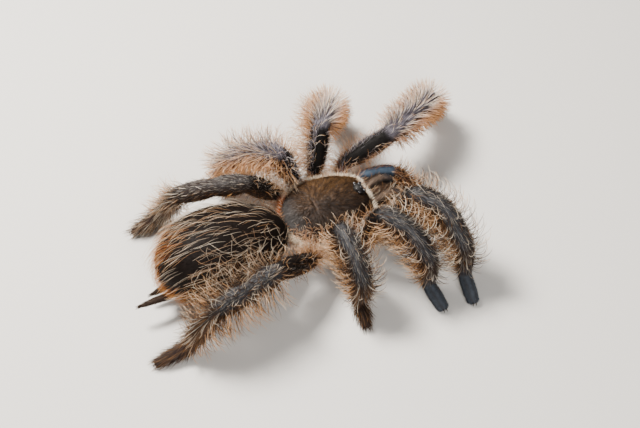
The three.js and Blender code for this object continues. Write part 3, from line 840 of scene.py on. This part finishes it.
def leg_coat(name, surface, materials):
    """The down, the pale strands that lie along the leg, and the long fringe."""
    hind = name[-1] in "34"
    fringe, fringe_density, shortest, longest, femur_density = LEG_FRINGES[name]
    root_rises, tip_rises, bends = FRINGES[fringe]
    halo = fringe == "halo"

    def bare(turn, row):
        """The stripes of bare skin on top of the knee and shin."""
        stripe = np.exp(-(((np.abs(turn) - 24) / 9) ** 2))
        return stripe * ramp(row, 2.05, 2.2) * (1 - ramp(row, 3.6, 3.95))

    def down_density(row, turn):
        foot = ramp(row, 4.7, 5.0)
        return 8 * ramp(row, 0.35, 0.5) * (1 - 0.75 * bare(turn, row)) * (1 - foot) + 30 * foot * (row < 6.13)

    roots = surface.scatter(down_density)
    count = len(roots["row"])
    skin = leg_markings(name, roots["row"], roots["turn"])
    on_foot = ramp(roots["row"], 4.7, 5.1)
    rise = vary(count, 22, 46) + 22 * on_foot
    groups = [grow(roots, vary(count, 0.8, 1.25) * (1 - 0.4 * on_foot), 0.06, 1, (rise, rise),
                   (vary(count, -20, 20),) * 2, tints=(shaded(skin * 0.7, count), shaded(skin * 1.3, count)))]

    def strand_density(row, turn):
        femur = ramp(row, 0.9, 1.1) * (1 - ramp(row, 1.9, 2.0))
        top = 1 - ramp(np.abs(turn), 60, 90)
        bareness = 0.96 if halo else 0.85
        return 3.3 * ramp(row, 0.4, 0.6) * (1 - bareness * femur * top) * (1 - 0.3 * bare(turn, row)) * (
            1 - ramp(row, 4.7, 5.1))

    roots = surface.scatter(strand_density)
    count = len(roots["row"])
    row, turn = roots["row"], roots["turn"]
    side = ramp(np.abs(turn), 45, 100)
    pale = mix(mix(LAVENDER if halo else CREAM * 0.7, ASH, rng.random(count)), UMBER,
               rng.random(count) < {"right_4": 0.7, "left_4": 0.35}.get(name, 0.2 if halo else 0.52))
    tip = mix(pale, mix(HONEY * 0.8, UMBER, rng.random(count)), side)
    groups.append(grow(roots, vary(count, 1.8, 3.2) * (0.65 if name == "left_4" else 1), vary(count, 0.05, 0.066), 2,
                       (vary(count, 18, 30), vary(count, 4, 18)), (vary(count, -8, 8), vary(count, -10, 10)), wave=4,
                       tints=(shaded(UMBER * 0.5, count), shaded(tip, count, 0.2)), blend_power=1.1))

    top_share = {"left_1": 0.3, "left_2": 0.4, "left_3": 0.3}.get(name, 0.1)

    def fringe_growth(row, turn):
        side = ramp(np.abs(turn), 30, 70)
        under = ramp(np.abs(turn), 140, 170)
        coxa = ramp(row, 0.25, 0.5) * (1 - ramp(row, 0.95, 1.15))
        femur = ramp(row, 0.95, 1.1) * (1 - ramp(row, 1.9, 2.0))
        shin = ramp(row, 1.95, 2.1) * (1 - ramp(row, 5.2, 6.0) if halo else 1 - ramp(row, 4.5, 5.0))
        femur = femur * ((0.02 + 0.98 * side) if halo else (0.3 + 0.7 * side))
        return ({"left_1": 1.2, "left_3": 4.5, "left_4": 4.5}.get(name, 3.6) * coxa + 1.3 * femur * femur_density + shin * fringe_density * (
            top_share + (1 - top_share) * side)) * (1 - (0.0 if halo else 0.6) * under)

    roots = surface.scatter(fringe_growth)
    count = len(roots["row"])
    row, turn = roots["row"], roots["turn"]
    side = ramp(np.abs(turn), 40, 90)
    shin = ramp(row, 1.9, 2.3)
    hip = 1 - ramp(row, 1.0, 1.35)
    length = mix(vary(count, 2.6 if halo else 3.0, 4.4 if halo else 5.2)[:, None], vary(count, shortest, longest)[:, None], shin)[:, 0]
    length = length * (1 - 0.35 * ramp(row, 3.9, 4.9))
    rise_root = mix(vary(count, 30, 75)[:, None], vary(count, *root_rises)[:, None], shin)[:, 0]
    rise_tip = mix(vary(count, -60, 200)[:, None], vary(count, *tip_rises)[:, None], shin)[:, 0]
    swing = vary(count, -50, 50) * (1 - 0.6 * shin)
    root_tint = mix(GREY * 0.7 if halo else UMBER * 0.8, PINK * 0.5, hip)
    on_top = mix(LAVENDER, CREAM, rng.random(count)) if halo else mix(CREAM * 0.8, ASH, 0.6 * rng.random(count))
    beside = mix(TAN, PINK, 0.5 * rng.random(count)) if halo else mix(HONEY, TAN, rng.random(count))
    golden = side * (1 - hip) if halo else side * shin
    on_top = on_top * (0.6 if fringe == "fan" else 1)
    on_top = mix(beside, on_top, 1 if halo else shin)
    middle = mix(on_top, beside, golden)
    hip_tint = mix(mix(PINK, CREAM, 0.4), TAN, rng.random(count)) * (0.9 if hind else 0.65)
    middle = mix(middle, hip_tint, hip)
    ends = mix(RUFOUS * 1.4, GOLD, 0.3 + 0.7 * rng.random(count)) if halo else mix(GOLD, CREAM, rng.random(count))
    if halo:
        ends = mix(ends, TAN, 0.5 * rng.random(count))
    if fringe == "fan":
        lower = ramp(-turn, 40, 80) * ramp(row, 2.6, 3.4)
        ends = mix(ends, mix(AMBER, GOLD, rng.random(count)), lower)
    top_ends = mix(TAN, GOLD if halo else CREAM, rng.random(count))
    tip = mix(top_ends, ends, golden)
    dark = (rng.random(count) < (0.1 if halo else 0.5)) * (1 - 0.7 * hip)
    middle = mix(middle, UMBER, dark)
    tip = mix(tip, HONEY * 0.45, dark)
    thickness = vary(count, 0.05, 0.066) + vary(count, 0.02, 0.035) * shin * (0.7 if fringe == "fan" else 1)
    groups.append(grow(roots, length, thickness, bends,
                       (rise_root, rise_tip),
                       (swing, swing + vary(count, -30, 30) * (2 - shin)), wave=10, waves=0.8,
                       tints=(shaded(root_tint, count), shaded(middle, count, 0.2), shaded(tip, count, 0.15)),
                       blend_power=0.9))

    for density, first, last, middle_turn, reach, short, long in LEG_CURLS.get(name, []):
        roots = surface.scatter(lambda row, turn: density * ramp(row, first, first + 0.3) * (
            1 - ramp(row, last - 0.3, last)) * (np.abs((turn - middle_turn + 180) % 360 - 180) < reach))
        count = len(roots["row"])
        groups.append(grow(roots, vary(count, short, long), vary(count, 0.05, 0.07), 6,
                           (vary(count, 50, 90), vary(count, 10, 150)),
                           (vary(count, -40, 40), vary(count, -80, 80)), wave=16,
                           tints=(shaded(UMBER * 0.8, count), shaded(mix(HONEY, TAN, rng.random(count)), count),
                                  shaded(mix(TAN, CREAM, rng.random(count)), count, 0.15)), blend_power=0.7))

    if hind:
        roots = surface.scatter(lambda row, turn: 3.6 * ramp(row, 3.6, 4.2) * (row < 6.05))
        count = len(roots["row"])
        far = name == "left_4"
        pale = mix(TAN, CREAM, rng.random(count)) if far else mix(HONEY, TAN, 0.5) * 0.7 + np.zeros((count, 3))
        tip = mix(mix(UMBER, GREY, 0.3), pale, rng.random(count) ** (1 if far else 2))
        groups.append(grow(roots, vary(count, 3.0, 6.6 if far else 5.4) * (1 - 0.4 * ramp(roots["row"], 5.0, 6.0)),
                           vary(count, 0.055, 0.08), 3, (vary(count, 16, 56 if far else 40), vary(count, 4, 34)),
                           (vary(count, -12, 12), vary(count, -16, 16)), wave=5,
                           tints=(shaded(UMBER * 0.7, count), shaded(tip, count)), blend_power=0.9))
    return coat(f"coat_leg_{name}", groups, materials["hair"], "grey_brown")


def palp_coat(side, surface, materials):
    def down_density(row, turn):
        bald = ramp(row, 0.9, 1.1) * (1 - ramp(row, 1.85, 2.0)) * (1 - ramp(np.abs(turn), 120, 150))
        return (9 + 14 * ramp(row, 3.8, 4.1)) * ramp(row, 0.4, 0.7) * (1 - 0.95 * bald) * (row < 5.09)

    roots = surface.scatter(down_density)
    count = len(roots["row"])
    skin = palp_markings(roots["row"], roots["turn"])
    groups = [grow(roots, vary(count, 0.7, 1.1), 0.05, 1, (vary(count, 22, 48),) * 2, (vary(count, -20, 20),) * 2,
                   tints=(shaded(skin, count), shaded(skin * 1.5, count)))]

    def setae_density(row, turn):
        bald = ramp(row, 0.9, 1.1) * (1 - ramp(row, 1.85, 2.0)) * (1 - ramp(np.abs(turn), 120, 150))
        return 3.5 * ramp(row, 0.5, 0.8) * (1 - bald) * (row < 4.8)

    roots = surface.scatter(setae_density)
    count = len(roots["row"])
    skin = palp_markings(roots["row"], roots["turn"])
    tip = mix(TAN, RUFOUS, rng.random(count))
    groups.append(grow(roots, vary(count, 1.4, 2.4), 0.055, 3, (vary(count, 16, 40), vary(count, 6, 30)),
                       (vary(count, -18, 18), vary(count, -18, 18)), wave=8,
                       tints=(shaded(skin, count), shaded(tip, count)), blend_power=0.7))

    def curl_density(row, turn):
        return 2.6 * ramp(row, 1.9, 2.1) * (1 - ramp(row, 3.9, 4.4))

    roots = surface.scatter(curl_density)
    count = len(roots["row"])
    groups.append(grow(roots, vary(count, 3.4, 5.6), vary(count, 0.07, 0.1), 6,
                       (vary(count, 36, 66), vary(count, 90, 190)), (vary(count, -20, 20), vary(count, -40, 40)),
                       wave=10, tints=(shaded(UMBER * 0.7, count), shaded(mix(UMBER, HONEY, rng.random(count)), count),
                                       shaded(mix(TAN, CREAM, rng.random(count)), count)), blend_power=0.9))
    return coat(f"coat_palp_{side}", groups, materials["hair"], "grey_brown")


def abdomen_coat(surface, materials):
    """Velvet, the long pale hairs that run back over it, and the tangle on its sides."""

    def swept(roots):
        """The same roots, with the hair at the back end swept down instead of meeting at a point."""
        back = ramp(roots["row"], 0.62, 0.92)[:, None]
        roots["lie"] = unit(roots["lie"] + back * [-0.2, 0.1, -1.3])
        return roots

    roots = swept(surface.scatter(lambda row, turn: 9.0 + 0 * row))
    count = len(roots["row"])
    skin = abdomen_markings(roots["row"], roots["turn"])
    down = grow(roots, vary(count, 1.0, 1.6), 0.06, 1, (vary(count, 18, 38),) * 2, (vary(count, -14, 14),) * 2,
                tints=(shaded(skin * 0.7, count), shaded(skin * 1.2, count)))

    def long_density(row, turn):
        rim = ramp(np.abs(turn), 70, 115)
        back = ramp(row, 0.8, 0.97)
        return (0.21 + 0.1 * rim) * ramp(row, 0.04, 0.12) * (1 - 0.5 * back)

    roots = swept(surface.scatter(long_density))
    count = len(roots["row"])
    rim = np.maximum(ramp(np.abs(roots["turn"]), 75, 115), ramp(roots["row"], 0.78, 0.95))
    under = ramp(np.abs(roots["turn"]), 80, 115)
    tip = mix(mix(TAN, CREAM, rng.random(count)), mix(GOLD, RUFOUS, 0.7 * rng.random(count)), under)
    root_tint = mix(UMBER, RUFOUS, under)
    longs = grow(roots, vary(count, 5.5, 10.0) * (1 - 0.3 * rim), vary(count, 0.038, 0.052), 9,
                 (vary(count, 20, 34), vary(count, -30, -8) + 16 * rim), (vary(count, -10, 10), vary(count, -16, 16)),
                 wave=6, waves=1.2, tints=(shaded(root_tint, count), shaded(tip, count, 0.15)), blend_power=0.6)

    # Short bright hair round the back end.
    roots = swept(surface.scatter(lambda row, turn: 1.6 * ramp(row, 0.6, 0.85) * np.maximum(
        ramp(np.abs(turn), 62, 90), ramp(row, 0.93, 0.97))))
    count = len(roots["row"])
    rump = grow(roots, vary(count, 2.4, 4.8), vary(count, 0.034, 0.048), 4, (vary(count, 26, 50), vary(count, 0, 30)),
                (vary(count, -16, 16), vary(count, -30, 30)), wave=6,
                tints=(shaded(RUFOUS * 0.7, count), shaded(mix(RUFOUS * 1.4, GOLD, rng.random(count)), count, 0.15)),
                blend_power=0.7)

    # The hind legs brush the sides, where the hairs are tangled.
    def tangle_density(row, turn):
        side = ramp(np.abs(turn), 24, 44) * (1 - ramp(np.abs(turn), 84, 110))
        return 0.55 * side * ramp(row, 0.1, 0.2) * (1 - ramp(row, 0.55, 0.75))

    roots = surface.scatter(tangle_density)
    count = len(roots["row"])
    swing = vary(count, -50, 50)
    tangle = grow(roots, vary(count, 4.5, 9.0), vary(count, 0.038, 0.052), 9,
                  (vary(count, 22, 50), vary(count, -60, 30)), (swing, swing + vary(count, -150, 150)), wave=16,
                  waves=1.0, tints=(shaded(UMBER, count), shaded(mix(TAN, CREAM, rng.random(count)), count, 0.15)),
                  blend_power=0.6)
    return coat("coat_abdomen", [down, longs, rump, tangle], materials["hair"], "black_velvet")


def shield_coat(surface, materials):
    """Fine hair that radiates from the pit, a pale fringe round the edge, and curls over it."""
    roots = surface.scatter(lambda row, turn: 14 * (1 - ramp(row, 0.985, 1.0)))
    count = len(roots["row"])
    away = roots["place"] - [PIT_PLACE, 0, roots["place"][0, 2]]
    roots["lie"] = unit(away * [1, 1, 0] + 1e-6)
    skin = shield_markings(roots["row"], roots["turn"], roots["place"])
    x, y = roots["place"][:, 0], roots["place"][:, 1]
    # Gold tips gather in mottled patches towards the left front: partly real mottling, partly a painted sheen.
    patch = (1 - mottle(x + 3.3, y)) * (0.25 + 0.75 * ramp(y, -5.0, 3.0)) * ramp(x, -9.0, -3.0)
    tip = mix(skin * 1.15, mix(SHEEN_GOLD, TAN, 0.3), patch * rng.random(count) ** 2.5)
    groups = [grow(roots, vary(count, 1.0, 2.1), vary(count, 0.045, 0.06), 2, (vary(count, 10, 26), vary(count, 0, 12)),
                   (vary(count, -45, 45),) * 2, tints=(shaded(skin * 0.7, count, 0.25), shaded(tip, count, 0.3)),
                   sink=0.1)]

    # The fringe stands up and out from the edge.
    roots = surface.scatter(lambda row, turn: 30 * ramp(row, 0.94, 0.97))
    count = len(roots["row"])
    roots["lie"] = np.zeros((count, 3)) + [0, 0, 1.0]
    swing = vary(count, -60, 60)
    x, y = roots["place"][:, 0], roots["place"][:, 1]
    tint = mix(CREAM, RUFOUS * 1.6, ramp(-x, 6.5, 9.5) * ramp(y, 1.0, 4.0) * (rng.random(count) < 0.8))
    groups.append(grow(roots, vary(count, 1.6, 2.5), vary(count, 0.06, 0.08), 3,
                       (vary(count, 40, 70), vary(count, 50, 90)), (swing, swing + vary(count, -40, 40)), wave=6,
                       tints=(shaded(tint * 0.9, count, 0.05), shaded(tint, count, 0.05)), blend_power=0.5))

    # On the near side the curls lean in over the shield.
    def curl_density(row, turn):
        near = ramp(turn, 40, 70) * (1 - ramp(turn, 140, 165))
        side = ramp(np.abs(turn), 25, 60)
        return 2.4 * ramp(row, 0.85, 0.95) * (0.2 + 0.8 * side) + 2.4 * near * ramp(row, 0.7, 0.85)

    roots = surface.scatter(curl_density)
    count = len(roots["row"])
    inward = (roots["place"][:, 1] < -4) & (rng.random(count) < 0.6)
    roots["lie"] = unit((roots["place"] - [PIT_PLACE, 0, 0]) * [1, 1, 0]) * np.where(inward, -1, 1)[:, None]
    middle = mix(mix(HONEY, TAN, 0.4), PINK, 0.5 * rng.random(count))
    tip = mix(TAN, CREAM, rng.random(count))
    groups.append(grow(roots, vary(count, 2.8, 5.4), vary(count, 0.045, 0.065), 6,
                       (vary(count, 15, 70), vary(count, -50, 130)), (vary(count, -60, 60), vary(count, -130, 130)),
                       wave=16, tints=(shaded(UMBER, count), shaded(middle, count, 0.15), shaded(tip, count, 0.15)),
                       blend_power=0.8))
    return coat("coat_carapace", groups, materials["hair"], "shield")


def jaw_coat(side, surface, materials):
    """Dense hair that lies along the jaw in paler and darker stripes, with long curls over it."""
    roots = surface.scatter(lambda row, turn: 16.0 * ramp(row, 0.04, 0.1) * (row < 0.97))
    count = len(roots["row"])
    skin = jaw_markings(roots["row"], roots["turn"])
    groups = [grow(roots, vary(count, 1.2, 2.2), 0.055, 2, (vary(count, 14, 34), vary(count, 4, 24)),
                   (vary(count, -12, 12),) * 2, tints=(shaded(skin * 0.6, count), shaded(skin * 1.5, count, 0.4)))]
    curl_density = 1.4 if side == "right" else 0.15  # few where they would lie over the palp's bare segment
    roots = surface.scatter(lambda row, turn: curl_density * ramp(row, 0.05, 0.15) * (row < 0.95))
    count = len(roots["row"])
    tip = mix(mix(UMBER, HONEY, rng.random(count)), CREAM, rng.random(count) ** 3)
    groups.append(grow(roots, vary(count, 2.2, 4.4), vary(count, 0.05, 0.075), 6,
                       (vary(count, 20, 55), vary(count, -10, 110)), (vary(count, -30, 30), vary(count, -80, 80)),
                       wave=14, tints=(shaded(UMBER, count), shaded(tip, count)), blend_power=0.7))
    return coat(f"coat_chelicera_{side}", groups, materials["hair"], "pale_jaw")


def small_coat(name, surface, materials, tint, density, length, slot):
    """Plain short hair on a small part."""
    roots = surface.scatter(lambda row, turn: density * (row < 0.97))
    count = len(roots["row"])
    made = grow(roots, vary(count, 0.7, 1.2) * length, 0.05, 2, (vary(count, 14, 34), vary(count, 4, 24)),
                (vary(count, -18, 18),) * 2, tints=(shaded(tint, count), shaded(tint * 1.8, count)))
    return coat(name, [made], materials["hair"], slot)


# ---- The skin ----


def painted_skin(parts, material):
    """One closed skin over all the parts, tinted by the markings of the nearest part.

    parts is a list of (surface, markings function).
    """
    points, quads, triangles = [], [], []
    start = 0
    for surface, _ in parts:
        p, q, t = surface.solid()
        points.append(p)
        quads.append(q + start)
        triangles.append(t + start)
        start += len(p)
    skin = make_object("skin", np.vstack(points), np.vstack(quads), np.vstack(triangles), material)
    remesh = skin.modifiers.new("one skin", "REMESH")
    remesh.mode = "VOXEL"
    remesh.voxel_size = SKIN_VOXEL * MM
    smooth = skin.modifiers.new("smooth", "SMOOTH")
    smooth.factor = 0.5
    smooth.iterations = 4
    made = bpy.data.meshes.new_from_object(skin.evaluated_get(bpy.context.evaluated_depsgraph_get()))
    skin.modifiers.clear()
    skin.data = made
    made.name = "skin"
    made.materials.clear()
    made.materials.append(material)
    made.polygons.foreach_set("use_smooth", np.ones(len(made.polygons), bool))
    samples = [surface.points.reshape(-1, 3) for surface, _ in parts]
    tints = []
    for surface, markings in parts:
        rows, columns = surface.points.shape[:2]
        row = np.repeat(surface.row_values, columns)
        turn = (np.tile(surface.turns, rows) + 180) % 360 - 180
        tints.append(np.broadcast_to(markings(row, turn), (rows * columns, 3)))
    samples, tints = np.vstack(samples), np.vstack(tints)
    tree = KDTree(len(samples))
    for i, p in enumerate(samples):
        tree.insert(p, i)
    tree.balance()
    count = len(made.vertices)
    places = np.empty(count * 3, np.float32)
    made.vertices.foreach_get("co", places)
    places = places.reshape(-1, 3) / MM - ORIGIN
    nearest = np.array([[found[1] for found in tree.find_n(p, 4)] for p in places])
    layer = made.color_attributes.new("tint", "FLOAT_COLOR", "POINT")
    layer.data.foreach_set("color", np.c_[tints[nearest].mean(1), np.ones(count)].astype(np.float32).ravel())
    return skin


# ---- Separate pieces ----


def closed_object(name, surface, material, tints=None):
    points, quads, triangles = surface.solid()
    if tints is not None:
        tints = np.vstack([tints.reshape(-1, 3), tints[0].mean(0), tints[-1].mean(0)])
    return make_object(name, points, quads, triangles, material, tints)


def add_shield(surface, material):
    """The shield's shell: its upper side, and the same outline drawn in for its underside."""
    under = [(0.97, SHIELD_EDGE - 0.3), (0.86, SHIELD_UNDERSIDE), (0.5, SHIELD_UNDERSIDE + 0.3),
             (0.02, SHIELD_UNDERSIDE + 0.4)]
    edge = surface.points[-1]
    extra = [np.c_[edge[:, :2] * share, np.full(len(edge), height)] for share, height in under]
    whole = np.concatenate([surface.points, np.array(extra)])
    row = np.concatenate([surface.row_values, np.ones(len(under))])
    tints = shield_markings(row[:, None], surface.turns[None], whole)
    shell = closed_object("carapace_shell", Surface(whole, np.arange(len(whole)), surface.turns), material, tints)
    settle(shell, "shield", "carapace")


def add_eyes(material, mound_material):
    mound = ellipsoid_surface(MOUND_CENTRE, MOUND_SIZE, 20, 28)
    tints = np.broadcast_to(BLACK, mound.points.shape)
    piece = closed_object("eye_mound", mound, mound_material, tints)
    settle(piece, "black_velvet", "eye_tubercle")
    for name, (radius, place) in EYES.items():
        for side in ("left", "right"):
            centre = MOUND_CENTRE + on_side(side, place)
            eye = closed_object(f"eye_lens_{side}_{name}", ellipsoid_surface(centre, radius, 16, 20), material)
            settle(eye, "eye", f"eye_{side}_{name}")


def add_fangs(material):
    for side in ("left", "right"):
        surface = rod(on_side(side, FANG_PATH), FANG_RADII, 28, 16)
        settle(closed_object(f"fang_horn_{side}", surface, material), "horn", f"fang_{side}")


def add_claws(surfaces, material):
    """Two small claws at the end of each foot."""
    for name, surface in surfaces.items():
        tip, ahead, upper = surface.tip
        upper = unit(upper)
        right = np.cross(ahead, upper)
        for side, sign in (("a", -1), ("b", 1)):
            start = tip + upper * 0.45 - ahead * 0.5 + right * sign * 0.3
            path = [start, start + ahead * 0.7 + upper * 0.12 + right * sign * 0.12,
                    start + ahead * 1.15 - upper * 0.15 + right * sign * 0.16,
                    start + ahead * 1.3 - upper * 0.5 + right * sign * 0.16]
            path = np.array(path)
            path[:, 2] = np.maximum(path[:, 2], 0.12)
            claw = closed_object(f"claw_{name}_{side}", rod(path, [0.16, 0.14, 0.1, 0.03], 12, 8), material)
            settle(claw, "horn")


def main():
    add_camera()
    add_stage()
    materials = {
        "skin": tinted("skin_cuticle", 0.6, 0.2, 900, bump=0.5, specular=0.15),
        "hair": tinted("coat_hair", 0.6, 0.12, 700, specular=0.08),
        "shield": tinted("shield_cuticle", 0.62, 0.45, 450, bump=0.7, bump_scale=4000, specular=0.25),
        "mound": tinted("mound_cuticle", 0.6, 0.2, 900, bump=0.3, specular=0.3),
    }
    horn, _ = mottled("black_horn", colour(18, 14, 13), colour(52, 36, 28), 0.24, 1400, 0.25)
    lens, shader = mottled("eye_gloss", colour(16, 16, 20), colour(34, 30, 36), 0.05, 1600, 0.01)
    shader.inputs["Coat Weight"].default_value = 1.0

    legs = {name: leg_surface(name) for name in LEGS}
    palps = {side: palp_surface(side) for side in PALPS}
    jaws = {side: jaw_surface(side) for side in ("left", "right")}
    abdomen = abdomen_surface()
    sternum = ellipsoid_surface(STERNUM_CENTRE, STERNUM_SIZE)
    pedicel = rod(PEDICEL_PATH, PEDICEL_RADII)
    spinnerets = {name: rod(*measures) for name, measures in SPINNERETS.items()}

    def plain(tint):
        return lambda row, turn: tint + 0 * row[:, None]

    parts = [(s, (lambda row, turn, name=name: leg_markings(name, row, turn))) for name, s in legs.items()]
    parts += [(s, palp_markings) for s in palps.values()]
    parts += [(s, jaw_markings) for s in jaws.values()]
    parts += [(abdomen, abdomen_markings), (sternum, plain(UMBER * 0.6)), (pedicel, plain(PINK))]
    parts += [(s, plain(UMBER * 0.7)) for s in spinnerets.values()]
    skin = painted_skin(parts, materials["skin"])
    flesh = ["sternum", "pedicel", "abdomen", *(f"spinneret_{n}" for n in SPINNERETS)]
    flesh += [f"chelicera_{side}" for side in jaws]
    flesh += [f"leg_{name}_{part}" for name in LEGS for part in ("coxa", "femur", "tibia", "foot")]
    flesh += [f"palp_{side}_{part}" for side in PALPS for part in ("coxa", "femur", "tibia")]
    settle(skin, "grey_brown", *flesh)

    shield = shield_surface()
    add_shield(shield, materials["shield"])
    add_eyes(lens, materials["mound"])
    add_fangs(horn)
    feet = {f"leg_{name}": s for name, s in legs.items()}
    feet.update({f"palp_{side}": s for side, s in palps.items()})
    add_claws(feet, horn)

    for name, surface in legs.items():
        leg_coat(name, surface, materials)
    for side, surface in palps.items():
        palp_coat(side, surface, materials)
    for side, surface in jaws.items():
        jaw_coat(side, surface, materials)
    abdomen_coat(abdomen, materials)
    shield_coat(shield, materials)
    small_coat("coat_sternum", sternum, materials, UMBER * 0.6, 6, 1.2, "black_velvet")
    for name, surface in spinnerets.items():
        small_coat(f"coat_spinneret_{name}", surface, materials, UMBER * 0.7, 10, 1.1, "black_velvet")


main()
